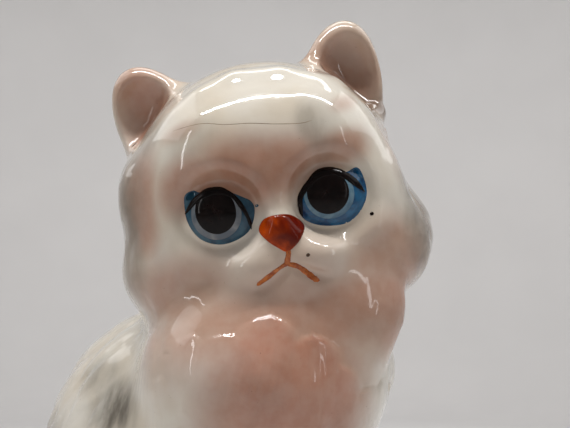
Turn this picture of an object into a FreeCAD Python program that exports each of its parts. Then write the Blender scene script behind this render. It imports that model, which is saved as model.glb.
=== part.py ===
import FreeCAD, Part
import math
import os
import Sketcher

# A seated long-haired cat figurine in glazed slip-cast earthenware, 165 mm tall.
#
# Row frame, in millimetres: +Z up, origin on the flat foot where the figure rests.
# The body faces -Y, the rump is at +Y and the cat's own left is +X.
# The head is turned to the cat's right and tilted. It has a frame of its own,
# with its origin at the middle of the skull, the face towards -Y and +Z up.
#
# The castings are luted together with slip. The two large ones are hollow shells.
# The eyes, nose and mouth are thin layers of enamel laid on the casting's surface.

V = FreeCAD.Vector
doc = FreeCAD.newDocument("cat_figurine")

# ---------------------------------------------------------------- driving sizes
DIMENSIONS = {
    # walls of the hollow castings, and how softly the forms of a casting blend
    "wall": 4.0, "foot_wall": 5.0, "blend": 3.0,
    "pour_hole_radius": 7.0, "pour_hole_back": 20.0,
    "foot_back": 8.0, "neck_back": -15.0, "torso_top": 112.0, "hollow_top": 101.0,
    # the luting seat under the head, and the coil of slip that lines its hole
    "seat_height": -23.0, "neck_hole_radius": 9.0, "coil_wall": 2.0, "coil_reach": 6.0,
    # head: place and pose
    "head_back": -27.0, "head_height": 128.0,
    "head_turn": -43.0, "head_nod": 10.0, "head_tilt": -10.8,
    "head_hollow_bottom": -19.0, "head_spine_back": -2.0, "crown_flat": 0.25,
    # forelegs and hind paws, one casting each
    "leg_spine_back": -42.0, "leg_spine_top_back": -31.0, "leg_spine_out": 12.0,
    # tail: part of a ring on the ground, round the cat's left side, with round ends
    "tail_arc_radius": 43.0, "tail_arc_back": 8.0, "tail_radius": 8.5, "tail_rest": 0.9,
    "tail_root_angle": 92.0, "tail_tip_angle": -24.0,
    # ears, in a frame of their own: +Z from root to tip, the hollow towards -Y
    "left_ear_out": 18.3, "left_ear_height": 13.0, "left_ear_lean": 15.0,
    "right_ear_out": 19.2, "right_ear_height": 11.6, "right_ear_lean": 25.0,
    "ear_back": 3.0, "ear_open": 14.0,
    "ear_length": 21.0, "ear_root_rx": 10.8, "ear_root_ry": 6.0,
    "ear_mid_rx": 9.4, "ear_mid_ry": 5.0, "ear_high_rx": 6.2, "ear_high_ry": 3.4,
    "ear_tip_rx": 2.4, "ear_tip_ry": 1.6,
    "ear_cup_back": -5.5, "ear_cup_height": 10.0,
    "ear_cup_rx": 7.4, "ear_cup_ry": 6.6, "ear_cup_rz": 10.0,
    # eyes: a dome on the casting, with layers of enamel over it
    "left_eye_out": 10.6, "right_eye_out": 12.0, "eye_back": -14.0, "eye_height": -3.9, "eye_turn": 11.0,
    "eye_dome_radius": 11.0, "enamel": 0.35,
    "eye_half_width": 7.0, "eye_half_height": 5.6,
    "ring_half_width": 5.0, "ring_half_height": 4.3, "ring_rise": -0.6,
    "pupil_half_width": 3.9, "pupil_half_height": 4.1, "pupil_rise": 0.5,
    "lash_centre": -1.9, "lash_radius": 6.4, "lash_stroke": 0.8, "lash_end": -2.2,
    # nose and mouth
    "face_reach": 40.0,
    "nose_height": -8.6, "nose_half_width": 4.2, "nose_shoulder": 0.8, "nose_bridge": 2.6,
    "nose_top": 3.1, "nose_bottom": 3.7, "nose_tip": 0.7,
    "mouth_height": -15.0, "mouth_half_width": 6.2, "mouth_drop": 3.6, "mouth_half_stroke": 0.4,
}

# The ellipsoids that the castings blend: distance out (along X), back (along Y) and
# height of the centre, then the half sizes along X, Y and Z.
TORSO = {
    "rump": (0.0, 12.0, 26.0, 36.0, 43.0, 33.0),
    "back": (0.0, 3.0, 60.0, 30.0, 39.0, 42.0),
    "chest": (0.0, -22.0, 60.0, 26.0, 22.0, 36.0),
    "ruff": (0.0, -28.0, 91.0, 28.5, 25.5, 20.5),
    "neck": (0.0, -18.0, 104.0, 19.0, 19.0, 20.0),
    "belly": (0.0, -16.0, 14.0, 25.0, 24.0, 24.0),
    "haunch": (26.5, 10.0, 22.0, 17.5, 31.0, 27.0),
}
HEAD = {
    "skull": (0.0, 0.0, 3.0, 29.0, 26.0, 24.5),
    "cheek": (15.8, -1.0, -14.5, 18.3, 19.0, 14.0),
    "throat": (0.0, -1.0, -10.0, 21.0, 20.0, 16.5),
    "muzzle": (0.0, -16.5, -14.0, 13.0, 10.5, 8.5),
    "brow": (9.0, -13.0, 8.0, 11.0, 11.0, 11.0),
    "orbit": (13.0, -12.0, -4.0, 11.5, 9.5, 9.5),
}
FORELEG = {
    "paw": (12.0, -46.0, 4.0, 11.0, 12.5, 10.5),
    "shin": (12.5, -38.5, 24.0, 10.0, 10.5, 30.0),
    "forearm": (13.5, -33.0, 48.0, 12.0, 13.0, 27.0),
}
HIND_PAW = {
    "hind": (31.5, -20.0, 3.0, 11.0, 18.0, 11.0),
}
PAIRED = ("haunch", "cheek", "brow", "orbit")
PARTS_OF_ELLIPSOID = ("out", "back", "height", "rx", "ry", "rz")
for forms in (TORSO, HEAD, FORELEG, HIND_PAW):
    for name, values in forms.items():
        for part, value in zip(PARTS_OF_ELLIPSOID, values):
            DIMENSIONS[f"{name}_{part}"] = value

sheet = doc.addObject("Spreadsheet::Sheet", "dims")
for row, (alias, value) in enumerate(DIMENSIONS.items(), start=1):
    sheet.set(f"A{row}", alias.replace("_", " "))
    sheet.set(f"B{row}", str(value))
    sheet.setAlias(f"B{row}", alias)
doc.recompute()


def size(alias):
    """The value of one cell of the sheet."""
    return float(getattr(sheet, alias))


def bind(obj, **expressions):
    """Binds properties to the sheet: Radius1="skull_rz" becomes the expression dims.skull_rz."""
    for name, text in expressions.items():
        words = [f"dims.{w}" if w in DIMENSIONS else w for w in text.split()]
        obj.setExpression(name.replace("__", "."), " ".join(words))


SIDES = {"left": 1, "right": -1}
NAMES = {side: name for name, side in SIDES.items()}


# ---------------------------------------------------------------- frames
def head_placement():
    """The head frame in the row frame: turned about Z, nodded about X, then tilted about Y."""
    turn = FreeCAD.Rotation(V(0, 0, 1), size("head_turn"))
    nod = FreeCAD.Rotation(V(1, 0, 0), size("head_nod"))
    tilt = FreeCAD.Rotation(V(0, 1, 0), size("head_tilt"))
    base = V(0, size("head_back"), size("head_height"))
    return FreeCAD.Placement(base, turn.multiply(nod).multiply(tilt))


HEAD_FRAME = head_placement()


def ear_placement(side):
    """The ear frame in the row frame. side is 1 for the cat's left ear and -1 for its right."""
    name = NAMES[side]
    lean = FreeCAD.Rotation(V(0, 1, 0), side * size(f"{name}_ear_lean"))
    open_out = FreeCAD.Rotation(V(0, 0, 1), side * size("ear_open"))
    base = V(side * size(f"{name}_ear_out"), size("ear_back"), size(f"{name}_ear_height"))
    return HEAD_FRAME.multiply(FreeCAD.Placement(base, lean.multiply(open_out)))


def eye_placement(side):
    """The eye frame in the row frame: origin at the dome's centre, looking along -Y."""
    turn = FreeCAD.Rotation(V(0, 0, 1), side * size("eye_turn"))
    base = V(side * size(f"{NAMES[side]}_eye_out"), size("eye_back"), size("eye_height"))
    return HEAD_FRAME.multiply(FreeCAD.Placement(base, turn))


# ---------------------------------------------------------------- blended castings
def ellipsoids(forms, inset=0.0, side=0):
    """(centre, half sizes) of each form, both sides of a paired one. side moves a single one."""
    found = []
    for name in forms:
        out, back, height, rx, ry, rz = (size(f"{name}_{p}") for p in PARTS_OF_ELLIPSOID)
        signs = (1, -1) if name in PAIRED else (side or 1,)
        for sign in signs:
            found.append(((sign * out, back, height), (rx - inset, ry - inset, rz - inset)))
    return found


def distance(point, forms):
    """About how far point lies outside the forms, blended smoothly where they meet."""
    blend, total = size("blend"), 0.0
    for centre, half in forms:
        scaled = [(p - c) / r for p, c, r in zip(point, centre, half)]
        near = math.sqrt(sum(s * s for s in scaled)) or 1e-9
        steep = math.sqrt(sum((s / r) ** 2 for s, r in zip(scaled, half))) or 1e-9
        total += math.exp(-max(near * (near - 1) / steep, -60.0) / blend)
    return -blend * math.log(max(total, 1e-300))


def surface_radius(centre, angle, forms, reach=80.0):
    """How far out the blended surface lies from a point inside it, in a horizontal direction."""
    inside, outside = 0.0, reach
    for _ in range(28):
        radius = (inside + outside) / 2
        x, y = centre[0] + radius * math.cos(angle), centre[1] + radius * math.sin(angle)
        if distance((x, y, centre[2]), forms) < 0:
            inside = radius
        else:
            outside = radius
    return inside


def blended_solid(forms, spine, bottom, top, levels, points):
    """A loft through closed curves round the spine, closer together near the top and bottom.

    spine(height) gives the point that each level's curve goes round."""
    wires = []
    for level in range(levels):
        share = (1 - math.cos(math.pi * level / (levels - 1))) / 2
        height = bottom + (top - bottom) * share
        x, y = spine(height)
        curve = Part.BSplineCurve()
        ring = []
        for k in range(points):
            angle = math.pi / 2 + 2 * math.pi * k / points
            radius = surface_radius((x, y, height), angle, forms)
            ring.append(V(x + radius * math.cos(angle), y + radius * math.sin(angle), height))
        curve.interpolate(ring, PeriodicFlag=True)
        wires.append(Part.Wire(curve.toShape()))
    return Part.makeLoft(wires, True)


def casting(label, shape, placement=None):
    """A Part::Feature that holds a blended form."""
    feature = doc.addObject("Part::Feature", label)
    feature.Label = label
    feature.Shape = shape
    if placement:
        feature.Placement = placement
    return feature


def straight_spine(low, high, low_point, high_point):
    """A spine that runs straight from low_point at the height low to high_point at high."""

    def spine(height):
        share = (height - low) / (high - low)
        return tuple(a + (b - a) * share for a, b in zip(low_point, high_point))

    return spine


def cut(base, tool, label):
    result = doc.addObject("Part::Cut", label)
    result.Base, result.Tool = base, tool
    result.Label = label
    doc.recompute()
    return result


def common(base, tool, label):
    result = doc.addObject("Part::Common", label)
    result.Base, result.Tool = base, tool
    result.Label = label
    doc.recompute()
    return result


def cylinder(label, radius, height, placement):
    """A Part::Cylinder with its sizes bound to the sheet."""
    tool = doc.addObject("Part::Cylinder", label)
    bind(tool, Radius=radius, Height=height)
    tool.Placement = placement
    doc.recompute()
    return tool


def crown_height(forms, x, y, start, reach=60.0):
    """The height at which the blended surface closes above a point inside it, less a small flat."""
    inside, outside = start, start + reach
    for _ in range(28):
        height = (inside + outside) / 2
        if distance((x, y, height), forms) < 0:
            inside = height
        else:
            outside = height
    return inside - size("crown_flat")


def upright_spine(out, back):
    """A spine that stays on one upright line."""
    return lambda height: (out, back)


# ---------------------------------------------------------------- sketches and pads
def origin_plane(body, role):
    return next(f for f in body.Origin.OriginFeatures if f.Role == role)


def new_body(label, placement=None):
    body = doc.addObject("PartDesign::Body", label)
    body.Label = label
    if placement:
        body.Placement = placement
    return body


def new_sketch(body, name, role="XY_Plane"):
    sketch = body.newObject("Sketcher::SketchObject", name)
    sketch.AttachmentSupport = (origin_plane(body, role), [""])
    sketch.MapMode = "FlatFace"
    return sketch


def draw_ellipse(sketch, half_width, half_height):
    """One ellipse about the sketch's origin, its two diameters bound to the sheet."""
    wide, high = size(half_width), size(half_height)
    tall = high > wide
    if tall:
        ellipse = Part.Ellipse(V(0, high, 0), V(-wide, 0, 0), V(0, 0, 0))
    else:
        ellipse = Part.Ellipse(V(wide, 0, 0), V(0, high, 0), V(0, 0, 0))
    sketch.addGeometry(ellipse, False)
    sketch.exposeInternalGeometry(0)
    major, minor = 1, 2
    sketch.addConstraint(Sketcher.Constraint("Coincident", 0, 3, -1, 1))
    sketch.addConstraint(Sketcher.Constraint("Vertical" if tall else "Horizontal", major))
    along, across = (half_height, half_width) if tall else (half_width, half_height)
    for line, alias in ((major, along), (minor, across)):
        at = sketch.addConstraint(Sketcher.Constraint("Distance", line, 2 * size(alias)))
        sketch.renameConstraint(at, f"line{line}")
        bind(sketch, **{f"Constraints__line{line}": f"2 * {alias}"})


def draw_outline(sketch, corners):
    """A closed outline of straight lines. Each corner is a pair of expressions, for X and Y."""
    places = [(evaluate(x), evaluate(y)) for x, y in corners]
    for k, (x, y) in enumerate(places):
        after = places[(k + 1) % len(places)]
        sketch.addGeometry(Part.LineSegment(V(x, y, 0), V(*after, 0)), False)
    for k in range(len(places)):
        sketch.addConstraint(Sketcher.Constraint("Coincident", k, 2, (k + 1) % len(places), 1))
    for k, (value, text) in enumerate(zip(places, corners)):
        for axis in (0, 1):
            kind = ("DistanceX", "DistanceY")[axis]
            at = sketch.addConstraint(Sketcher.Constraint(kind, -1, 1, k, 1, value[axis]))
            sketch.renameConstraint(at, f"{kind}{k}")
            bind(sketch, **{f"Constraints__{kind}{k}": text[axis]})


def evaluate(text):
    """The number that a sum of terms has now. A term is a number, a cell or a number * a cell."""
    total, sign, term = 0.0, 1.0, 1.0
    for word in text.split():
        if word in ("+", "-"):
            total, sign, term = total + sign * term, {"+": 1.0, "-": -1.0}[word], 1.0
        elif word != "*":
            term *= size(word) if word in DIMENSIONS else float(word)
    return total + sign * term


def pad(body, sketch, name, length):
    feature = body.newObject("PartDesign::Pad", name)
    feature.Profile = sketch
    bind(feature, Length=length)
    doc.recompute()
    return feature


def cup_cut(body, name, stem):
    """A hollow cut by an ellipsoid whose place and sizes are the cells named after stem."""
    feature = body.newObject("PartDesign::SubtractiveEllipsoid", name)
    bind(feature, Placement__Base__y=f"{stem}_back", Placement__Base__z=f"{stem}_height")
    bind(feature, Radius1=f"{stem}_rz", Radius2=f"{stem}_rx", Radius3=f"{stem}_ry")
    doc.recompute()


# ---------------------------------------------------------------- torso
torso_spine = straight_spine(
    0.0, size("torso_top"), (0.0, size("foot_back")), (0.0, size("neck_back"))
)
torso_forms, torso_inner_forms = ellipsoids(TORSO), ellipsoids(TORSO, size("wall"))
torso_envelope = casting(
    "torso_envelope",
    blended_solid(torso_forms, torso_spine, 0.0, size("torso_top"), levels=16, points=28),
)
torso_hollow = casting(
    "torso_hollow",
    blended_solid(
        torso_inner_forms, torso_spine, size("foot_wall"), size("hollow_top"), levels=14, points=28
    ),
)

# ---------------------------------------------------------------- head
head_forms, head_inner_forms = ellipsoids(HEAD), ellipsoids(HEAD, size("wall"))
head_spine = upright_spine(0.0, size("head_spine_back"))


def head_solid(label, forms, bottom):
    top = crown_height(forms, *head_spine(0.0), 0.0)
    shape = blended_solid(forms, head_spine, bottom, top, levels=15, points=32)
    return casting(label, shape, HEAD_FRAME)


head_envelope = head_solid("head_envelope", head_forms, size("seat_height"))
head_hollow = head_solid("head_hollow", head_inner_forms, size("head_hollow_bottom"))
head_coated = head_solid("head_coated", ellipsoids(HEAD, -size("enamel")), size("seat_height"))

seat = HEAD_FRAME.multiply(
    FreeCAD.Placement(V(0, 0, size("seat_height") - size("coil_reach")), FreeCAD.Rotation())
)
neck_hole = cylinder("neck_hole", "neck_hole_radius", "2 * coil_reach", seat)
coil_bore = cylinder("coil_bore", "neck_hole_radius - coil_wall", "2 * coil_reach", seat)
pour_hole = cylinder(
    "pour_hole",
    "pour_hole_radius",
    "2 * foot_wall",
    FreeCAD.Placement(V(0, size("pour_hole_back"), -size("foot_wall") / 2), FreeCAD.Rotation()),
)


def cut_all(base, tools, label):
    """base less each of the tools in turn. The last cut has the label."""
    for k, tool in enumerate(tools):
        last = k == len(tools) - 1
        base = cut(base, tool, label if last else f"{label}_step{k + 1}")
    return base


cut_all(
    torso_envelope, [torso_hollow, head_envelope, neck_hole, pour_hole], "torso_casting"
)
cut(neck_hole, coil_bore, "neck_slip_coil")


# ---------------------------------------------------------------- eyes
def eye_outline(label, side, half_width, half_height, rise=None):
    """An elliptical column through the eye, along the eye's axis."""
    body = new_body(label, eye_placement(side))
    sketch = new_sketch(body, "outline", "XZ_Plane")
    if rise:
        bind(sketch, AttachmentOffset__Base__y=rise)
    draw_ellipse(sketch, half_width, half_height)
    pad(body, sketch, "column", "2 * eye_dome_radius")
    return body


def eye_ball(label, side, coats):
    """The dome's sphere, grown by a number of coats of enamel."""
    ball = doc.addObject("Part::Sphere", label)
    bind(ball, Radius=f"eye_dome_radius + {coats} * enamel")
    ball.Placement = eye_placement(side)
    doc.recompute()
    return ball


def fuse(shapes, label):
    result = doc.addObject("Part::MultiFuse", label)
    result.Shapes = shapes
    result.Label = label
    doc.recompute()
    return result


def draw_circle(sketch, radius):
    """One circle about the sketch's origin, its radius bound to the sheet."""
    at = sketch.addGeometry(Part.Circle(V(0, 0, 0), V(0, 0, 1), evaluate(radius)), False)
    sketch.addConstraint(Sketcher.Constraint("Coincident", at, 3, -1, 1))
    limit = sketch.addConstraint(Sketcher.Constraint("Radius", at, evaluate(radius)))
    sketch.renameConstraint(limit, f"radius{at}")
    bind(sketch, **{f"Constraints__radius{at}": radius})


def lash_band(label, side):
    """The dark line over the eye: the upper part of a ring."""
    body = new_body(label, eye_placement(side))
    sketch = new_sketch(body, "band", "XZ_Plane")
    bind(sketch, AttachmentOffset__Base__y="lash_centre")
    draw_circle(sketch, "lash_radius + 0.5 * lash_stroke")
    draw_circle(sketch, "lash_radius - 0.5 * lash_stroke")
    pad(body, sketch, "column", "2 * eye_dome_radius")
    below = body.newObject("PartDesign::SubtractiveBox", "below")
    bind(
        below,
        Length="4 * eye_dome_radius",
        Width="4 * eye_dome_radius",
        Height="2 * eye_dome_radius",
        Placement__Base__x="-2 * eye_dome_radius",
        Placement__Base__y="-3 * eye_dome_radius",
        Placement__Base__z="lash_end - 2 * eye_dome_radius",
    )
    doc.recompute()
    return body


balls = {}
columns = {}
for name, side in SIDES.items():
    balls[name] = [eye_ball(f"{name}_ball_{coats}", side, coats) for coats in range(4)]
    columns[name] = {
        "iris": eye_outline(f"{name}_iris_column", side, "eye_half_width", "eye_half_height"),
        "ring": eye_outline(
            f"{name}_ring_column", side, "ring_half_width", "ring_half_height", "ring_rise"
        ),
        "pupil": eye_outline(
            f"{name}_pupil_column", side, "pupil_half_width", "pupil_half_height", "pupil_rise"
        ),
        "lash": lash_band(f"{name}_lash_column", side),
    }

sockets = [cut(columns[n]["iris"], balls[n][0], f"{n}_socket") for n in SIDES]
domes = [common(balls[n][0], columns[n]["iris"], f"{n}_dome") for n in SIDES]
head_carved = cut_all(head_envelope, sockets, "head_carved")
head_sculpted = fuse([head_carved, *domes], "head_sculpted")
cut_all(head_sculpted, [head_hollow, neck_hole], "head_casting")
for n in SIDES:
    ball, column = balls[n], columns[n]
    coats = [cut(ball[k + 1], ball[k], f"{n}_coat_{k + 1}") for k in range(3)]
    common(coats[0], column["iris"], f"{n}_iris")
    common(coats[1], column["ring"], f"{n}_iris_light")
    common(coats[2], column["pupil"], f"{n}_pupil")
    common(coats[1], column["lash"], f"{n}_lash")

# ---------------------------------------------------------------- nose and mouth
nose_column = new_body("nose_column", HEAD_FRAME)
nose_sketch = new_sketch(nose_column, "outline", "XZ_Plane")
draw_outline(
    nose_sketch,
    [
        ("-1 * nose_half_width", "nose_height + nose_shoulder"),
        ("0 - nose_bridge", "nose_height + nose_top"),
        ("nose_bridge", "nose_height + nose_top"),
        ("nose_half_width", "nose_height + nose_shoulder"),
        ("nose_tip", "nose_height - nose_bottom"),
        ("0 - nose_tip", "nose_height - nose_bottom"),
    ],
)
pad(nose_column, nose_sketch, "column", "face_reach")
cut(common(nose_column, head_coated, "nose_coat"), head_envelope, "nose")

mouth_column = new_body("mouth_column", HEAD_FRAME)
mouth_sketch = new_sketch(mouth_column, "outline", "XZ_Plane")
draw_outline(
    mouth_sketch,
    [
        ("0 - mouth_half_stroke", "nose_height - nose_bottom"),
        ("mouth_half_stroke", "nose_height - nose_bottom"),
        ("mouth_half_stroke", "mouth_height + mouth_half_stroke"),
        ("mouth_half_width", "mouth_height - mouth_drop"),
        ("mouth_half_width - mouth_half_stroke", "mouth_height - mouth_drop - mouth_half_stroke"),
        ("0", "mouth_height - mouth_half_stroke"),
        ("mouth_half_stroke - mouth_half_width", "mouth_height - mouth_drop - mouth_half_stroke"),
        ("0 - mouth_half_width", "mouth_height - mouth_drop"),
        ("0 - mouth_half_stroke", "mouth_height + mouth_half_stroke"),
    ],
)
pad(mouth_column, mouth_sketch, "column", "face_reach")
cut(common(mouth_column, head_coated, "mouth_coat"), head_envelope, "mouth")


# ---------------------------------------------------------------- ears
def ear_section(body, name, height):
    sketch = new_sketch(body, name)
    bind(sketch, AttachmentOffset__Base__z=height)
    draw_ellipse(sketch, f"ear_{name}_rx", f"ear_{name}_ry")
    return sketch


def make_ear(name, side):
    """A cupped leaf: a loft of ellipses with a hollow cut from the front."""
    body = new_body(f"{name}_ear_blank", ear_placement(side))
    sections = [
        ear_section(body, "root", "0"),
        ear_section(body, "mid", "0.4 * ear_length"),
        ear_section(body, "high", "0.8 * ear_length"),
        ear_section(body, "tip", "ear_length"),
    ]
    leaf = body.newObject("PartDesign::AdditiveLoft", "leaf")
    leaf.Profile = sections[0]
    leaf.Sections = [(s, [""]) for s in sections[1:]]
    doc.recompute()
    cup_cut(body, "cup", "ear_cup")
    return cut(body, head_envelope, f"{name}_ear")


for name, side in SIDES.items():
    make_ear(name, side)

# ---------------------------------------------------------------- legs, paws and tail
# What lies below the foot is cut from the tail.
ground = doc.addObject("Part::Box", "ground")
bind(ground, Length="4 * tail_arc_radius", Width="4 * tail_arc_radius", Height="tail_arc_radius")
ground.Placement.Base = V(
    -2 * size("tail_arc_radius"), -2 * size("tail_arc_radius"), -size("tail_arc_radius")
)
doc.recompute()

hind_paws = []
for name, side in SIDES.items():
    forms = ellipsoids(FORELEG, side=side)
    foot = (side * size("leg_spine_out"), size("leg_spine_back"))
    shoulder = (side * size("leg_spine_out"), size("leg_spine_top_back"))
    top = crown_height(forms, *shoulder, size("forearm_height"))
    blank = casting(
        f"{name}_foreleg_blank",
        blended_solid(
            forms, straight_spine(0.0, top, foot, shoulder), 0.0, top, levels=14, points=18
        ),
    )
    cut(blank, torso_envelope, f"{name}_foreleg")
    forms = ellipsoids(HIND_PAW, side=side)
    spine = upright_spine(side * size("hind_out"), size("hind_back"))
    top = crown_height(forms, *spine(0.0), 0.0)
    blank = casting(
        f"{name}_hind_blank", blended_solid(forms, spine, 0.0, top, levels=10, points=18)
    )
    hind_paws.append(cut(blank, torso_envelope, f"{name}_hind_paw"))


tail_height = size("tail_rest") * size("tail_radius")
tail_arc = doc.addObject("Part::Torus", "tail_arc")
bind(
    tail_arc,
    Radius1="tail_arc_radius",
    Radius2="tail_radius",
    Angle3="tail_root_angle - tail_tip_angle",
)
tail_arc.Placement = FreeCAD.Placement(
    V(0, size("tail_arc_back"), tail_height),
    FreeCAD.Rotation(V(0, 0, 1), size("tail_tip_angle")),
)
tail_ends = []
for end in ("root", "tip"):
    ball = doc.addObject("Part::Sphere", f"tail_{end}_ball")
    bind(ball, Radius="tail_radius")
    angle = math.radians(size(f"tail_{end}_angle"))
    out, back = (size("tail_arc_radius") * f(angle) for f in (math.cos, math.sin))
    ball.Placement.Base = V(out, size("tail_arc_back") + back, tail_height)
    tail_ends.append(ball)
tail_blank = fuse([tail_arc, *tail_ends], "tail_blank")
cut_all(tail_blank, [ground, torso_envelope, hind_paws[0]], "tail")

# ---------------------------------------------------------------- output
NODES = ["torso_casting", "head_casting", "neck_slip_coil", "nose", "mouth", "tail"] + [
    f"{n}_{piece}"
    for n in SIDES
    for piece in ("ear", "foreleg", "hind_paw", "iris", "iris_light", "pupil", "lash")
]


def check_document():
    """Stops if any object failed or any sub-part has no valid closed shape."""
    doc.recompute()
    failed = [o.Label for o in doc.Objects if {"Invalid", "Error"} & set(o.State)]
    if failed:
        raise RuntimeError(f"failed objects: {failed}")
    for label in NODES:
        shape = doc.getObjectsByLabel(label)[0].Shape
        if shape.isNull() or not shape.isValid() or not shape.Solids:
            raise RuntimeError(f"{label} has no valid shape")


def write_parts():
    os.makedirs("parts", exist_ok=True)
    for label in NODES:
        shape = doc.getObjectsByLabel(label)[0].Shape
        shape.exportStep(os.path.join("parts", f"{label}.step"))
        print(f"{label:18} {len(shape.Solids)} solid {shape.Volume:10.1f} mm3")


check_document()
write_parts()
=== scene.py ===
import math

import bpy
import numpy as np
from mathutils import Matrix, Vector
from mathutils.bvhtree import BVHTree


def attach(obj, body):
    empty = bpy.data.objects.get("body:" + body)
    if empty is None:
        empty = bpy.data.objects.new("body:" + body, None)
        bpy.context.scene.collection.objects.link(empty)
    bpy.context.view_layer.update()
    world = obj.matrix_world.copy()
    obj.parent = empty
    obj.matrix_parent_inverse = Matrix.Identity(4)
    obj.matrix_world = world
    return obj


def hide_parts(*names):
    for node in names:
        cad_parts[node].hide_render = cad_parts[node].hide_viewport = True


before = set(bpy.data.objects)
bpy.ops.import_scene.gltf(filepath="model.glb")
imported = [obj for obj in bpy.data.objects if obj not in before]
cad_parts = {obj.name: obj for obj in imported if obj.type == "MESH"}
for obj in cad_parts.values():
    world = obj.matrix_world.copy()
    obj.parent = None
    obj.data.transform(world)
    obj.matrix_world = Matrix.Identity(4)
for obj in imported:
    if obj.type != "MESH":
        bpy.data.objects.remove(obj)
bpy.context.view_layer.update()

# A seated long-haired cat in glazed earthenware. Sizes are in millimetres in the frame's
# axes: +Z up, the body faces -Y, the cat's own left is +X. MM turns them into metres.
#
# One blended surface is grown round the castings, its fur is raised from it lock by lock,
# and it is then parted into the castings that the frame has. The painted eyes, nose and
# mouth are thin raised patches laid on that surface.
MM = 0.001
SIDES = {"left": 1, "right": -1}
RANDOM = np.random.default_rng(7)


# ---------------------------------------------------------------- frames
def turned(axis, degrees):
    """The rotation matrix about X, Y or Z."""
    c, s = math.cos(math.radians(degrees)), math.sin(math.radians(degrees))
    rows = {
        "X": ((1, 0, 0), (0, c, -s), (0, s, c)),
        "Y": ((c, 0, s), (0, 1, 0), (-s, 0, c)),
        "Z": ((c, -s, 0), (s, c, 0), (0, 0, 1)),
    }
    return np.array(rows[axis], float)


class Local:
    """A frame set in the row frame: to() takes points into it and out() takes them back."""

    def __init__(self, base, rotation, parent=None):
        base = np.array(base, float)
        self.rotation = parent.rotation @ rotation if parent else rotation
        self.base = parent.out(base) if parent else base

    def to(self, points):
        return (points - self.base) @ self.rotation

    def out(self, points):
        return np.asarray(points) @ self.rotation.T + self.base

    def direction(self, vector):
        return np.asarray(vector, float) @ self.rotation.T


# The head's turn to the cat's right, its nod and its tilt, and the eyes' and ears' places on it.
HEAD = Local((0, -27, 128), turned("Z", -43) @ turned("X", 10) @ turned("Y", -10.8))
EYES = {
    "left": Local((8.6, -14.0, -3.9), turned("Z", 11), HEAD),
    "right": Local((-10.0, -14.0, -3.6), turned("Z", -11), HEAD),
}
EARS = {
    "left": Local((18.3, 3.0, 13.0), turned("Y", 15) @ turned("Z", 14), HEAD),
    "right": Local((-19.2, 3.0, 11.6), turned("Y", -25) @ turned("Z", -14), HEAD),
}


# ---------------------------------------------------------------- distance fields
def ellipsoid(points, centre, half):
    scaled = (points - np.array(centre, np.float32)) / np.array(half, np.float32)
    near = np.sqrt((scaled**2).sum(-1)) + 1e-9
    steep = np.sqrt(((scaled / np.array(half, np.float32)) ** 2).sum(-1)) + 1e-9
    return near * (near - 1) / steep


def rod(points, start, end, start_radius, end_radius=None):
    """A rod with round ends, tapered when end_radius is given."""
    start, end = np.array(start, np.float32), np.array(end, np.float32)
    along = end - start
    share = np.clip(((points - start) @ along) / (along @ along), 0, 1)
    radius = start_radius + ((end_radius or start_radius) - start_radius) * share
    return np.linalg.norm(points - start - share[..., None] * along, axis=-1) - radius


def blend(fields, width):
    """The smooth union of several fields."""
    fields = np.stack(fields)
    lowest = fields.min(0)
    return lowest - width * np.log(np.exp((lowest - fields) / width).sum(0))


def join(a, b, width):
    """The smooth union of two fields, local to where they meet."""
    share = np.clip(0.5 + 0.5 * (b - a) / width, 0, 1)
    return b + (a - b) * share - width * share * (1 - share)


def carve(a, b, width):
    """Field a with b taken out of it, with a rounded edge."""
    return -join(-a, b, width)


# The head's forms, in its own frame. An ellipsoid is (centre, half sizes); a rod is (start, end,
# radius at the start, radius at the end).
SKULL = [((-1.5, 0, 3), (27.7, 26, 24.5)), ((0, -1, -10), (21, 20, 16.5)),
         ((0, -16, -29), (21, 11.5, 14)), ((15.3, -1, -15.5), (17.8, 19, 13.8)),
         ((-16.4, -1, -14.5), (19, 19, 14.5)), ((-28, -2, 2), (4.5, 9, 7))]
SKULL_PAIRS = [((9, -13, 8), (11, 11, 11)), ((13, -12, -4), (11.5, 9.5, 9.5))]
MUZZLE = ((0, -16.5, -14), (13, 10.5, 8.5))
LOWER_LID = ((5.5, -21.0, -10.2), (17.5, -19.2, -11.0), 3.0, 3.4)
NOSE_BRIDGE = ((0, -22.6, -8.0), (0, -20.6, 4.0), 2.6, 2.2)
LIP_PAD = ((5.2, -22.6, -14.4), (6.4, 5.6, 4.6))
CHIN = ((0, -21.2, -20.2), (6.6, 5.4, 3.8))
NOSE_PAD = ((-0.5, -25.4, -8.6), (4.6, 3.2, 3.8))
LIP_CLEFT = ((-0.5, -29.6, -12.4), (-1.2, -29.0, -14.6), 1.0)
MOUTH_CREASE = ((0.4, -28.8, -15.4), (6.4, -27.2, -19.0), 0.7)
HAIRLINE_RADIUS = 1.6
HAIRLINE = [(-19.0, -9.0, 16.0), (-15.5, -15.6, 15.6), (-11.0, -15.8, 18.8), (-4.0, -15.0, 21.6),
            (5.0, -15.4, 20.8), (11.5, -15.8, 17.4), (15.5, -11.0, 17.6)]


def flipped(point, side):
    """A point, or its mirror image across the YZ plane when side is -1."""
    x, y, z = point
    return (side * x, y, z)


def mirrored(forms):
    """Each form and its mirror image."""
    return [(flipped(c, s), *rest) for c, *rest in forms for s in (1, -1)]


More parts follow.
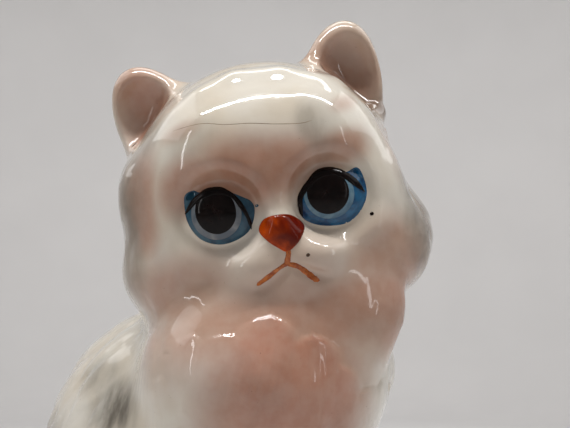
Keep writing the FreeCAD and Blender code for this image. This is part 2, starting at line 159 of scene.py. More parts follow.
def head_field(p):
    """The head without its ears, at points in the head frame."""
    forms = SKULL + mirrored(SKULL_PAIRS) + [MUZZLE]
    field = blend([ellipsoid(p, *form) for form in forms], 3.0)
    across = p.copy()
    across[..., 0] = np.abs(across[..., 0])
    field = join(field, rod(across, *LOWER_LID), 3.0)
    field = join(field, rod(p, *NOSE_BRIDGE), 4.0)
    field = join(field, ellipsoid(across, *LIP_PAD), 2.0)
    field = join(field, ellipsoid(p, *CHIN), 2.5)
    ridge = [rod(p, a, b, HAIRLINE_RADIUS) for a, b in zip(HAIRLINE, HAIRLINE[1:])]
    field = join(field, blend(ridge, 0.8), 3.0)
    field = join(field, ellipsoid(p, *NOSE_PAD), 1.2)
    field = carve(field, rod(p, *LIP_CLEFT), 1.0)
    return carve(field, rod(across, *MOUTH_CREASE), 1.4)


EYE_DOME = ((0, -4.1, 0), (9.8, 7.5, 8.2))
EYE_SOCKET = ((0, -15.2, 0.2), (10.4, 9.0, 9.0))


def eye_field(p):
    """The two domes that the eyes are painted on, at points in the row frame."""
    return np.minimum(*[ellipsoid(eye.to(p), *EYE_DOME) for eye in EYES.values()])


def whole_head_field(p):
    field = head_field(HEAD.to(p))
    for eye in EYES.values():
        field = carve(field, ellipsoid(eye.to(p), *EYE_SOCKET), 2.6)
    return join(field, eye_field(p), 0.7)


EAR_LEAF = ((0, 0.4, 3.0), (10.3, 5.6, 18.6))
EAR_HOLLOW = ((0, -6.8, 7.4), (9.3, 8.0, 13.6))
LIP_CORNER, LIP_BASE = (8.6, -1.6, 1.5), (4.4, -5.4, -3.4)


def ear_field(p):
    """One ear, at points in its own frame: a thick leaf, hollow in front, with a lip below."""
    ear = carve(ellipsoid(p, *EAR_LEAF), ellipsoid(p, *EAR_HOLLOW), 1.1)
    lip = [rod(p, flipped(LIP_CORNER, s), flipped(LIP_BASE, s), 1.5, 1.9) for s in (1, -1)]
    lip.append(rod(p, flipped(LIP_BASE, -1), LIP_BASE, 1.9, 1.9))
    return join(ear, blend(lip, 0.6), 1.6)


TORSO = [((0, 12, 26), (36, 43, 33)), ((0, 3, 60), (30, 39, 42)), ((0, -22, 60), (26, 22, 36)),
         ((0, -27, 88), (28.5, 24, 21)), ((0, -18, 104), (19, 19, 20)), ((0, -16, 14), (25, 24, 24))]
TORSO_PAIRS = [((26.5, 10, 22), (17.5, 31, 27))]
FORELEG = [((12, -46, 4), (11, 12.5, 10.5)), ((12.5, -38.5, 24), (10, 10.5, 30)),
           ((13.5, -33, 48), (12, 13, 27))]
HIND_PAW = ((31.5, -20, 3), (11, 18, 11))
TOE_GAPS = {"fore": ((8.4, -60.0), (15.6, -60.0)), "hind": ((28.0, -40.5), (35.0, -40.5))}
POUR_HOLE = {"centre": (0, 20), "radius": 7.0, "depth": 36.0}
TAIL = {"centre": (0, 8), "radius": 43.0, "root": 96.0, "tip": -27.0, "segments": 14}


def torso_field(p):
    forms = TORSO + mirrored(TORSO_PAIRS)
    return blend([ellipsoid(p, *form) for form in forms], 3.0)


def toe_grooves(field, p, gaps, rise):
    """Grooves down the front of a paw, between its toes."""
    for out, front in gaps:
        field = carve(field, rod(p, (out, front, 0), (out, front + 5.5, rise), 1.1, 0.5), 1.6)
    return field


def foreleg_field(p, side):
    p = p * np.array((side, 1, 1), np.float32)
    field = blend([ellipsoid(p, *form) for form in FORELEG], 3.0)
    return toe_grooves(field, p, TOE_GAPS["fore"], 11.0)


def hind_paw_field(p, side):
    p = p * np.array((side, 1, 1), np.float32)
    return toe_grooves(ellipsoid(p, *HIND_PAW), p, TOE_GAPS["hind"], 11.0)


def tail_radius(share):
    """The tail's radius: it swells past the middle and ends in a blunt brush."""
    return 5.6 + 3.2 * np.sin(math.pi * np.clip(share, 0, 1) ** 0.8)


def tail_point(share):
    angle = math.radians(TAIL["root"] + (TAIL["tip"] - TAIL["root"]) * share)
    x, y = (TAIL["radius"] * f(angle) for f in (math.cos, math.sin))
    return (x, y + TAIL["centre"][1], 0.9 * tail_radius(share))


def tail_field(p):
    shares = np.linspace(0, 1, TAIL["segments"] + 1)
    rods = [
        rod(p, tail_point(a), tail_point(b), tail_radius(a), tail_radius(b))
        for a, b in zip(shares, shares[1:])
    ]
    return blend(rods, 1.0)


FAR = 40.0


# The box that each form lies in, in the frame that its field is worked out in.
REACH = {
    "torso": ((-60, -66, -20), (60, 70, 140)),
    "head": ((-60, -80, 85), (60, 20, 190)),
    "ear": ((-20, -18, -20), (20, 18, 32)),
    "foreleg": ((-40, -70, -20), (40, -8, 90)),
    "hind_paw": ((-56, -50, -20), (56, 10, 30)),
    "tail": ((-30, -40, -20), (70, 75, 36)),
}


def within(field, points, low, high, *more):
    """A field worked out only for the points in a box, and far away for the others."""
    result = np.full(points.shape[:-1], FAR)
    inside = np.all((points > np.array(low)) & (points < np.array(high)), axis=-1)
    result[inside] = field(points[inside], *more)
    return result


PARTS = ("torso", "head", "left_ear", "right_ear", "left_foreleg", "right_foreleg",
         "left_hind_paw", "right_hind_paw", "tail")


def part_fields(p):
    """The field of each casting at points in the row frame, in the order of PARTS."""
    fields = [
        within(torso_field, p, *REACH["torso"]),
        within(whole_head_field, p, *REACH["head"]),
    ]
    fields += [within(ear_field, EARS[name].to(p), *REACH["ear"]) for name in SIDES]
    fields += [within(foreleg_field, p, *REACH["foreleg"], side) for side in SIDES.values()]
    fields += [within(hind_paw_field, p, *REACH["hind_paw"], side) for side in SIDES.values()]
    return fields + [within(tail_field, p, *REACH["tail"])]


def cat_field(p):
    """The whole cat, with a flat foot and the pour hole of the casting in it."""
    torso, head, ear_a, ear_b, leg_a, leg_b, paw_a, paw_b, tail = part_fields(p)
    head = join(join(head, ear_a, 5.5), ear_b, 5.5)
    body = join(torso, np.minimum(leg_a, leg_b), 4.0)
    body = join(body, np.minimum(paw_a, paw_b), 2.0)
    body = join(body, tail, 1.2)
    field = join(body, head, 4.5)
    x, y = POUR_HOLE["centre"]
    hole = np.hypot(p[..., 0] - x, p[..., 1] - y) - POUR_HOLE["radius"]
    hole = np.maximum(hole, p[..., 2] - POUR_HOLE["depth"])
    field = carve(field, hole, 0.8)
    return carve(field, p[..., 2], 1.0)


# ---------------------------------------------------------------- surface from a field
BLOCK = 8
CHUNKS = 12


def grid_points(blocks, cells):
    """Integer grid corners of each block, one more than cells along each side."""
    side = np.arange(cells + 1)
    offsets = np.stack(np.meshgrid(side, side, side, indexing="ij"), -1)
    return blocks[:, None, None, None, :] * cells + offsets


def near_blocks(field, low, high, step):
    """The blocks of the grid that the surface may pass through."""
    count = np.ceil((high - low) / (step * BLOCK)).astype(int)
    blocks = np.stack(np.meshgrid(*[np.arange(c) for c in count], indexing="ij"), -1).reshape(-1, 3)
    middle = low + (blocks + 0.5) * step * BLOCK
    reach = step * BLOCK * 1.05
    return blocks[np.abs(field(middle.astype(np.float32))) < reach]


def extract(field, low, high, step):
    """Surface nets on the cells that the surface crosses: vertices and quads."""
    blocks = near_blocks(field, low, high, step)
    corners = grid_points(blocks, BLOCK)
    values = np.concatenate(
        [field((low + c * step).astype(np.float32)) for c in np.array_split(corners, CHUNKS)]
    )
    cell_values = np.stack(
        [values[:, a:a + BLOCK, b:b + BLOCK, c:c + BLOCK]
         for a in (0, 1) for b in (0, 1) for c in (0, 1)], -1)
    filled = (cell_values < 0).sum(-1)
    block, i, j, k = np.nonzero((filled > 0) & (filled < 8))
    cell = blocks[block] * BLOCK + np.stack((i, j, k), -1)
    at = cell_values[block, i, j, k]
    place = np.array([(a, b, c) for a in (0, 1) for b in (0, 1) for c in (0, 1)], float)
    total, number = np.zeros((len(cell), 3)), np.zeros(len(cell))
    for m in range(8):
        for n in range(m + 1, 8):
            if np.abs(place[m] - place[n]).sum() != 1:
                continue
            crossed = (at[:, m] < 0) != (at[:, n] < 0)
            share = at[crossed, m] / (at[crossed, m] - at[crossed, n])
            total[crossed] += place[m] + share[:, None] * (place[n] - place[m])
            number[crossed] += 1
    vertices = low + (cell + total / number[:, None]) * step
    span = cell.max(0) + 3
    keys = ((cell[:, 0] + 1) * span[1] + cell[:, 1] + 1) * span[2] + cell[:, 2] + 1
    order = np.argsort(keys)
    ranked = keys[order]
    strides = np.array((span[1] * span[2], span[2], 1))
    quads = []
    corner = {0: 4, 1: 2, 2: 1}
    for axis in range(3):
        start, end = at[:, 0] < 0, at[:, corner[axis]] < 0
        side_a, side_b = (strides[t] for t in ((axis + 1) % 3, (axis + 2) % 3))
        for outward in (True, False):
            own = keys[(start != end) & (start == outward)]
            ring = [own, own - side_a, own - side_a - side_b, own - side_b]
            if not outward:
                ring.reverse()
            found = [np.searchsorted(ranked, r).clip(0, len(ranked) - 1) for r in ring]
            whole = np.all([ranked[f] == r for f, r in zip(found, ring)], axis=0)
            quads.append(np.stack([order[f][whole] for f in found], -1))
    return vertices, np.concatenate(quads)


def slope_at(field, points, step=0.05):
    """The field and its slope at each point."""
    value = field(points)
    slope = np.empty_like(points)
    for axis in range(3):
        shift = np.zeros(3)
        shift[axis] = step
        slope[:, axis] = (field(points + shift) - value) / step
    return value, slope


def settle(field, points, rounds=2, furthest=0.6):
    """Moves points onto the surface, none further than about furthest in a round."""
    for _ in range(rounds):
        value, slope = slope_at(field, points)
        steep = (slope**2).sum(-1) + 1e-6
        points = points - (np.clip(value, -furthest, furthest) / steep)[:, None] * slope
    return points


def vertex_normals(points, quads):
    """Outward normals, averaged over the faces round each vertex."""
    a, b, c, d = (points[quads[:, corner]] for corner in range(4))
    across = np.cross(c - a, d - b)
    total = np.zeros_like(points)
    for corner in range(4):
        np.add.at(total, quads[:, corner], across)
    return total / (np.linalg.norm(total, axis=-1, keepdims=True) + 1e-12)


# ---------------------------------------------------------------- fur
def smooth(low, high, x):
    share = np.clip((x - low) / (high - low), 0, 1)
    return share * share * (3 - 2 * share)


def wobble(points, scale, seed):
    """A gentle random field between about -1 and 1, features about scale millimetres across."""
    source = np.random.default_rng(100 + seed)
    total = np.zeros(len(points))
    for _ in range(7):
        wave = source.normal(size=3)
        wave *= 2.2 / scale / np.linalg.norm(wave) * source.uniform(0.6, 1.4)
        total += np.sin(points @ wave + source.uniform(0, 2 * math.pi))
    return total / 3.0


def flow(points, labels):
    """The way the fur lies at each point, before it is laid along the surface."""
    lie = np.tile(np.array((0.0, 0.15, -1.0)), (len(points), 1))
    turn = 0.30 * wobble(points, 26, 1)
    x, y, z = points.T
    front = smooth(-14, -34, y)
    lie[:, 0] += turn + 0.016 * x * front
    lie[:, 1] += 0.55 * smooth(20, 44, z) * (1 - front) + 0.2 * turn
    lie[:, 1] -= 0.9 * smooth(34, 12, z) * smooth(24, 34, np.abs(x)) * smooth(30, 0, y)
    local = HEAD.to(points)
    lx, _, lz = local.T
    head_lie = np.stack((0.016 * lx, np.full_like(lx, 0.35), np.full_like(lx, -1.0)), -1)
    crown = smooth(4, 20, lz)
    head_lie[:, 1] += 1.6 * crown
    head_lie[:, 2] += 0.6 * crown
    head_lie[:, 0] += 0.25 * wobble(points, 18, 2)
    on_head = labels == PARTS.index("head")
    lie[on_head] = HEAD.direction(head_lie[on_head])
    on_tail = labels == PARTS.index("tail")
    radial = points[on_tail] - np.array((*TAIL["centre"], 0.0))
    lie[on_tail] = np.stack((radial[:, 1], -radial[:, 0], np.zeros(len(radial))), -1)
    for name in SIDES:
        on_ear = labels == PARTS.index(f"{name}_ear")
        lie[on_ear] = EARS[name].direction((0, 0, 1))
    return lie


def fur_scale(points, labels):
    """How far the locks stand out at each point, as a share of their full height."""
    local = HEAD.to(points)
    lx, ly, lz = local.T
    on_head = labels == PARTS.index("head")
    side = np.maximum(smooth(20, 29, np.abs(lx) - 0.25 * np.minimum(lz, 0)), smooth(-10, 2, ly))
    jaw = smooth(-17, -25, lz) * smooth(9, 20, np.abs(lx))
    face = np.maximum(side, jaw)
    face *= 1 - 0.97 * smooth(8, 18, lz)
    scale = np.where(on_head, face, 1.0)
    for name in SIDES:
        scale[labels == PARTS.index(f"{name}_ear")] = 0.0
        scale[labels == PARTS.index(f"{name}_foreleg")] *= 0.55
        scale[labels == PARTS.index(f"{name}_hind_paw")] *= 0.25
    paw = smooth(18, 8, points[:, 2]) * smooth(-34, -40, points[:, 1])
    flank = smooth(14, 26, np.abs(points[:, 0])) * smooth(50, 62, points[:, 2])
    scale *= (1 - paw) * (1 - 0.55 * flank)
    scale *= smooth(0.5, 5.0, points[:, 2])
    return scale


# The locks of each region: (length, half width, height, spacing).
LOCKS = {
    "chest": (22.0, 7.0, 1.9, 7.4),
    "body": (17.0, 4.6, 1.3, 5.2),
    "head": (14.0, 4.2, 0.75, 4.6),
    "leg": (12.0, 3.4, 0.9, 4.2),
    "tail": (16.0, 4.0, 1.3, 4.6),
}
LEAST_SCALE = 0.06
LOCK_SEAM = 0.28


def lock_kind(point, label):
    """Which kind of lock grows at a point of the casting with this label."""
    part = PARTS[label]
    if part == "tail":
        return "tail"
    if part == "head" or part.endswith("_ear"):
        return "head"
    if part != "torso":
        return "leg"
    return "chest" if point[1] < -16 and point[2] > 50 else "body"


def spread(points, labels, scale):
    """Roots for the locks: vertices taken at random, each kind with its own spacing."""
    taken, cells = [], {}
    pitch = max(k[3] for k in LOCKS.values())
    for index in RANDOM.permutation(len(points)):
        if scale[index] < LEAST_SCALE:
            continue
        gap = LOCKS[lock_kind(points[index], labels[index])][3]
        cell = tuple((points[index] // pitch).astype(int))
        near = (
            other
            for a in (-1, 0, 1) for b in (-1, 0, 1) for c in (-1, 0, 1)
            for other in cells.get((cell[0] + a, cell[1] + b, cell[2] + c), ())
        )
        if all(((points[index] - points[o]) ** 2).sum() > gap * gap for o in near):
            cells.setdefault(cell, []).append(index)
            taken.append(index)
    return taken


def fur_height(points, normals, labels):
    """The height of the fur and the glaze's gentle ripple over the blended surface."""
    scale = fur_scale(points, labels)
    lie = flow(points, labels)
    lie -= (lie * normals).sum(-1, keepdims=True) * normals
    lie /= np.linalg.norm(lie, axis=-1, keepdims=True) + 1e-9
    total = np.ones(len(points))
    for root in spread(points, labels, scale):
        length, width, height, _ = LOCKS[lock_kind(points[root], labels[root])]
        length *= RANDOM.uniform(0.8, 1.25)
        width *= RANDOM.uniform(0.8, 1.2)
        height *= RANDOM.uniform(0.7, 1.15) * scale[root]
        bend = RANDOM.normal(0, 0.12)
        offset = points - points[root]
        near = np.nonzero(np.abs(offset).max(-1) < length)[0]
        near = near[(normals[near] @ normals[root]) > 0.35]
        away = offset[near]
        aim = lie[root] + RANDOM.normal(0, 0.10, 3)
        aim -= (aim @ normals[root]) * normals[root]
        aim /= np.linalg.norm(aim)
        side = np.cross(normals[root], aim)
        along = away @ aim
        share = np.clip(along / length, 0, 1)
        across = away @ side - bend * along * share
        half = width * np.sin(math.pi * np.clip(share, 1e-4, 1) ** 0.62) ** 0.85 + 1e-3
        profile = np.clip(1 - (across / half) ** 2, 0, 1)
        rise = height * (0.30 + 0.70 * share) * (1 - share**7) * profile
        strand = 0.035 * np.cos(across * 4.2 + RANDOM.uniform(0, 6)) * np.sqrt(profile)
        rise += strand * height * np.sin(math.pi * share)
        rise[(along < 0) | (along > length)] = 0
        total[near] += np.exp(rise / LOCK_SEAM) - 1
    height = LOCK_SEAM * np.log(total)
    return height + 0.15 * wobble(points, 10, 21) + 0.06 * wobble(points, 4.5, 22)


# ---------------------------------------------------------------- pieces
def parted(quads, labels):
    """The label of each face, with no face that meets its own piece only at a corner."""
    face = np.sort(labels[quads], axis=1)[:, 1]
    for _ in range(6):
        kinds = np.zeros((len(labels), len(PARTS)), int)
        for corner in range(4):
            np.add.at(kinds, (quads[:, corner], face), 1)
        common = kinds[quads].sum(1).argmax(1)
        around = kinds[quads, face[:, None]].min(1)
        lonely = around <= 1
        face = np.where(lonely, common, face)
    return face


def open_edges(quads):
    """The edges that only one of the faces has, in the order that face goes round."""
    pairs = np.concatenate([np.stack((quads[:, k], quads[:, (k + 1) % 4]), 1) for k in range(4)])
    size = int(quads.max()) + 1
    forward, backward = pairs[:, 0] * size + pairs[:, 1], pairs[:, 1] * size + pairs[:, 0]
    return pairs[~np.isin(forward, backward)]


def loops(edges):
    """The closed runs that directed edges make."""
    after = {}
    for a, b in edges.tolist():
        after.setdefault(a, []).append(b)
    found = []
    while after:
        start = next(iter(after))
        run, at = [], start
        while at in after:
            run.append(at)
            ways = after[at]
            following = ways.pop()
            if not ways:
                del after[at]
            at = following
            if at == start:
                break
        if len(run) > 2:
            found.append(run)
    return found


def closed_piece(name, points, normals, quads, paint):
    """One casting's share of the surface, closed inside the clay, as a Blender object."""
    used, flat = np.unique(quads, return_inverse=True)
    quads = flat.reshape(-1, 4)
    points, normals = points[used], normals[used]
    faces = quads.tolist()
    extra, extra_normals = [], []
    for run in loops(open_edges(quads)):
        middle = points[run].mean(0) - normals[run].mean(0)
        hub = len(points) + len(extra)
        middle[2] = max(middle[2], 0.0)
        extra.append(middle)
        extra_normals.append(normals[run].mean(0))
        faces += [(b, a, hub) for a, b in zip(run, run[1:] + run[:1])]
    if extra:
        points = np.concatenate((points, extra))
        normals = np.concatenate((normals, extra_normals))
    mesh = bpy.data.meshes.new(name)
    mesh.from_pydata((points * MM).tolist(), [], faces)
    mesh.polygons.foreach_set("use_smooth", np.ones(len(faces), bool))
    for mask, values in paint.items():
        layer = mesh.attributes.new(mask, "FLOAT", "POINT")
        shares = np.concatenate((values[used], np.zeros(len(extra))))
        layer.data.foreach_set("value", shares.astype(np.float32))
    mesh.update()
    mesh.normals_split_custom_set_from_vertices(normals.tolist())
    piece = bpy.data.objects.new(name, mesh)
    bpy.context.collection.objects.link(piece)
    return piece


# ---------------------------------------------------------------- airbrushed paint and painted shade
SPOT_EDGE = 0.55


def blob(local, centre, half):
    """A soft spot, for airbrushed paint and painted shade alike: 1 in its middle, fading out over its
    edge.
    """
    scaled = (local - np.array(centre)) / np.array(half)
    return smooth(1 + SPOT_EDGE, 1 - SPOT_EDGE, np.linalg.norm(scaled, axis=-1))


def paint_and_shade_spots(points, frame_of, spots, scale):
    """Several spots in one frame, each with its strength, with their edges made uneven."""
    local = frame_of.to(points)
    local = local + 2.2 * np.stack([wobble(points, scale, k) for k in (11, 12, 13)], -1)
    mask = np.zeros(len(points))
    for centre, half, strength in spots:
        mask = np.maximum(mask, strength * blob(local, centre, half))
    return mask


# Spots of airbrushed paint and of painted shade: (centre, half sizes, strength). ROW is the frame of the
# body's spots.
ROW = Local((0, 0, 0), np.eye(3))
# Some smoke spots lie along both sides of the head's outline; the last body spot, at full strength,
# darkens the cat's right flank beside the chest.
SMOKE_ON_HEAD = mirrored([((32, 4, -6), (6.0, 12, 15), 0.6), ((19, 12, 20), (12, 12, 12), 0.6),
                          ((24, -8, 17), (6, 8, 5), 0.5)])
SMOKE_ON_HEAD += [((11, -25, 10.5), (3.6, 7, 5.5), 0.55), ((-15, -24, 11), (4.0, 7, 4.0), 0.3),
                  ((28.5, -10, 2), (3.8, 9, 12), 0.9), ((30, -11, -12), (3.4, 8, 9), 0.75),
                  ((-30, -8, 1), (4.4, 9, 16), 0.75), ((0, 24, 4), (22, 12, 20), 0.55)]
SMOKE_ON_BODY = mirrored([((30, 26, 44), (12, 16, 14), 0.85), ((38, -2, 30), (12, 14, 10), 0.7),
                          ((24, 40, 20), (14, 14, 12), 0.7), ((26, 20, 68), (9, 12, 8), 0.55),
                          ((22, -52, 10), (7, 8, 7), 0.25)])
SMOKE_ON_BODY += [((0, 36, 70), (12, 16, 24), 0.65), ((40, -14, 8), (14, 16, 14), 0.8),
                  ((-24, 3, 86), (5, 8, 4.0), 0.5), ((-26, -6.5, 80), (7, 8.5, 6), 1.0)]
# The tan spots are partly airbrushed tint and partly painted shade and warm reflection: between the eyes,
# over the lower face, cheeks and sides of the head, down the chest and inside the ears.
TAN_AND_SHADE_ON_HEAD = [((-3, -26, 4.0), (11.5, 8, 7.0), 1.0), ((10.5, -24, 5.0), (10, 8, 3.8), 0.85),
               ((-14, -24, 4.2), (9, 8, 4.4), 0.9), ((0, -24, -26), (32, 15, 10), 0.9),
               ((-22, -20, -17), (13, 12, 9), 0.7), ((21, -20, -18), (11, 12, 9), 0.75),
               ((-26, -15, 3), (4.4, 8, 10), 0.85), ((28, -8, 4), (3.6, 8, 10), 0.5),
               ((15.5, -18, 14), (5.0, 7, 2.0), 0.6), ((-16, -18, 13.4), (5.0, 7, 2.2), 0.55)]
TAN_AND_SHADE_ON_BODY = [((-14, -46, 84), (16.5, 14, 27), 0.88), ((-12, -44, 56), (15, 16, 15), 0.6),
               ((-26, -38, 97), (9, 12, 5), 0.65), ((8, -54, 99), (11, 12, 6), 0.7)]
TAN_AND_SHADE_ON_EAR = [((0, -1.5, 6.6), (8.6, 6.0, 13.4), 1.0)]
# Painted shade in brown: between the brows, along both sides of the head's outline and low in the hollow
# of each ear.
SHADE_ON_HEAD = [((-3, -26, 4), (9, 8, 5.5), 0.16), ((-30.5, -6, 0), (3.8, 9, 17), 0.38),
                ((30.5, -9, -9), (3.4, 8, 12), 0.45)]
SHADE_IN_EAR = {
    "left": [((2.0, -2.0, 0.5), (7.6, 5.0, 6.0), 0.95), ((0, 0, 8), (8, 5, 10), 0.35)],
    "right": [((3.6, -2.0, 2.2), (4.6, 5.0, 4.4), 0.85), ((-3, -2, -3), (7, 5, 5.0), 0.75)],
}
RELIEF_SPAN = 1.5


def paint_masks(points, height):
    """How strongly each colour, painted shade among them, lies on each point."""
    smoke = paint_and_shade_spots(points, HEAD, SMOKE_ON_HEAD, 9)
    smoke = np.maximum(smoke, paint_and_shade_spots(points, ROW, SMOKE_ON_BODY, 14))
    # Tan: partly airbrushed tint, partly painted shade and warm reflection.
    tan = paint_and_shade_spots(points, HEAD, TAN_AND_SHADE_ON_HEAD, 10)
    tan = np.maximum(tan, paint_and_shade_spots(points, ROW, TAN_AND_SHADE_ON_BODY, 12))
    # Brown painted shade.
    painted_shade = paint_and_shade_spots(points, HEAD, SHADE_ON_HEAD, 9)
    for name in SIDES:
        local = EARS[name].to(points)
        near = np.abs(local).max(-1) < 30
        front = smooth(3.0, 1.6, local[:, 1])
        ear_tan_and_shade = paint_and_shade_spots(points, EARS[name], TAN_AND_SHADE_ON_EAR, 12) * front * near
        painted_shade = np.maximum(painted_shade, paint_and_shade_spots(points, EARS[name], SHADE_IN_EAR[name], 6) * front * near)
        tan = np.maximum(tan, ear_tan_and_shade)
        smoke *= 1 - ear_tan_and_shade
    relief = np.clip(height / RELIEF_SPAN, 0, 1)
    return {"smoke": smoke, "tan": tan, "painted_shade": painted_shade, "relief": relief}


# ---------------------------------------------------------------- enamel patches
IN_FRONT = -60.0


class Skin:
    """The finished surface, to lay enamel on."""

    def __init__(self, points, quads):
        self.tree = BVHTree.FromPolygons(points.tolist(), quads.tolist())

    def under(self, x, z):
        """The surface point and its normal in front of a place on the face, in the row frame."""
        start = Vector(HEAD.out((x, IN_FRONT, z)))
        hit, normal, _, _ = self.tree.ray_cast(start, Vector(HEAD.direction((0, 1, 0))))
        return np.array(hit), np.array(normal)


def arc(a, b, c, d, t):
    """The point a share t of the way from b to c on the Catmull-Rom arc through four points."""
    return 0.5 * (2 * b + (c - a) * t + (2 * a - 5 * b + 4 * c - d) * t**2
                  + (3 * b - a - 3 * c + d) * t**3)


def closed_curve(corners, count):
    """A smooth closed outline through a few corners."""
    corners = np.array(corners, float)
    size = len(corners)
    result = []
    for k in range(count):
        at = k * size / count
        around = (corners[(int(at) + j) % size] for j in (-1, 0, 1, 2))
        result.append(arc(*around, at - int(at)))
    return np.array(result)


def oval(half_width, half_height, turn=0.0, count=12):
    """The corners of an ellipse."""
    angle = np.arange(count) * 2 * math.pi / count
    x, z = half_width * np.cos(angle), half_height * np.sin(angle)
    c, s = math.cos(math.radians(turn)), math.sin(math.radians(turn))
    return np.stack((x * c - z * s, x * s + z * c), -1)


EMBED = 0.25
RINGS = (0.12, 0.3, 0.46, 0.6, 0.72, 0.82, 0.9, 0.955, 0.985, 1.0)


def lay(skin, x, z, lift):
    point, normal = skin.under(x, z)
    return point + normal * lift


def mesh_piece(name, points, faces, material):
    mesh = bpy.data.meshes.new(name)
    mesh.from_pydata((np.array(points) * MM).tolist(), [], faces)
    mesh.polygons.foreach_set("use_smooth", np.ones(len(faces), bool))
    mesh.materials.append(material)
    mesh.update()
    piece = bpy.data.objects.new(name, mesh)
    bpy.context.collection.objects.link(piece)
    return piece


def patch(name, skin, centre, corners, lift, material, count=96, rim=0.07):
    """A patch of enamel with a rounded rim, laid on the surface, and its closed underside."""
    outline = closed_curve(corners, count)
    points = [lay(skin, *centre, lift)]
    for share in RINGS:
        rise = rim + (lift - rim) * (1 - share**14)
        for x, z in outline * share + centre:
            points.append(lay(skin, x, z, rise))
    faces = [(0, 1 + k, 1 + (k + 1) % count) for k in range(count)]
    for ring in range(len(RINGS) - 1):
        a, b = 1 + ring * count, 1 + (ring + 1) * count
        for k in range(count):
            after = (k + 1) % count
            faces.append((a + k, b + k, b + after, a + after))
    edge = 1 + (len(RINGS) - 1) * count
    under = len(points)
    for x, z in outline + centre:
        points.append(lay(skin, x, z, -EMBED))
    middle = len(points)
    points.append(lay(skin, *centre, -EMBED))
    for k in range(count):
        after = (k + 1) % count
        faces.append((edge + k, under + k, under + after, edge + after))
        faces.append((under + k, middle, under + after))
    return mesh_piece(name, points, faces, material)


def open_curve(stops, count):
    """A smooth line through (x, z, width) stops."""
    stops = np.array([stops[0], *stops, stops[-1]], float)
    places = np.linspace(0, len(stops) - 3 - 1e-6, count)
    return np.array([arc(*stops[int(at):int(at) + 4], at - int(at)) for at in places])


STROKE_SECTION = ((-1.0, 0.0), (-0.8, 0.6), (-0.35, 0.95), (0.35, 0.95), (0.8, 0.6), (1.0, 0.0))


def stroke(name, skin, centre, stops, lift, material, count=60, rim=0.03):
    """A brush stroke of enamel along (x, z, width) stops, with tapered ends."""
    line = open_curve(stops, count)
    along = np.gradient(line[:, :2], axis=0)
    along /= np.linalg.norm(along, axis=1, keepdims=True)
    sides = np.stack((-along[:, 1], along[:, 0]), 1)
    rough = np.interp(np.arange(count), np.arange(0, count, 3), RANDOM.normal(0, 0.07, -(-count // 3)))
    points, faces = [], []
    width_of_ring = len(STROKE_SECTION) + 2
    for k, ((x, z, width), side) in enumerate(zip(line, sides)):
        share = k / (count - 1)
        half = 0.5 * width * (1 + rough[k]) * min(1.0, (share * 14 + 0.12), ((1 - share) * 14 + 0.12))
        for across, rise in STROKE_SECTION:
            at = np.array((x, z)) + side * across * half + centre
            points.append(lay(skin, *at, rim + (lift - rim) * rise))
        for across in (1.0, -1.0):
            at = np.array((x, z)) + side * across * half + centre
            points.append(lay(skin, *at, -EMBED))
    for k in range(count - 1):
        for j in range(width_of_ring):
            after = (j + 1) % width_of_ring
            a, b = k * width_of_ring, (k + 1) * width_of_ring
            faces.append((a + j, a + after, b + after, b + j))
    faces.append(tuple(range(width_of_ring))[::-1])
    faces.append(tuple((count - 1) * width_of_ring + j for j in range(width_of_ring)))
    return mesh_piece(name, points, faces, material)


# ---------------------------------------------------------------- materials
def srgb(red, green, blue):
    """A linear colour from 0-255 display values."""
    values = [v / 255 for v in (red, green, blue)]
    linear = [v / 12.92 if v <= 0.04045 else ((v + 0.055) / 1.055) ** 2.4 for v in values]
    return (*linear, 1.0)


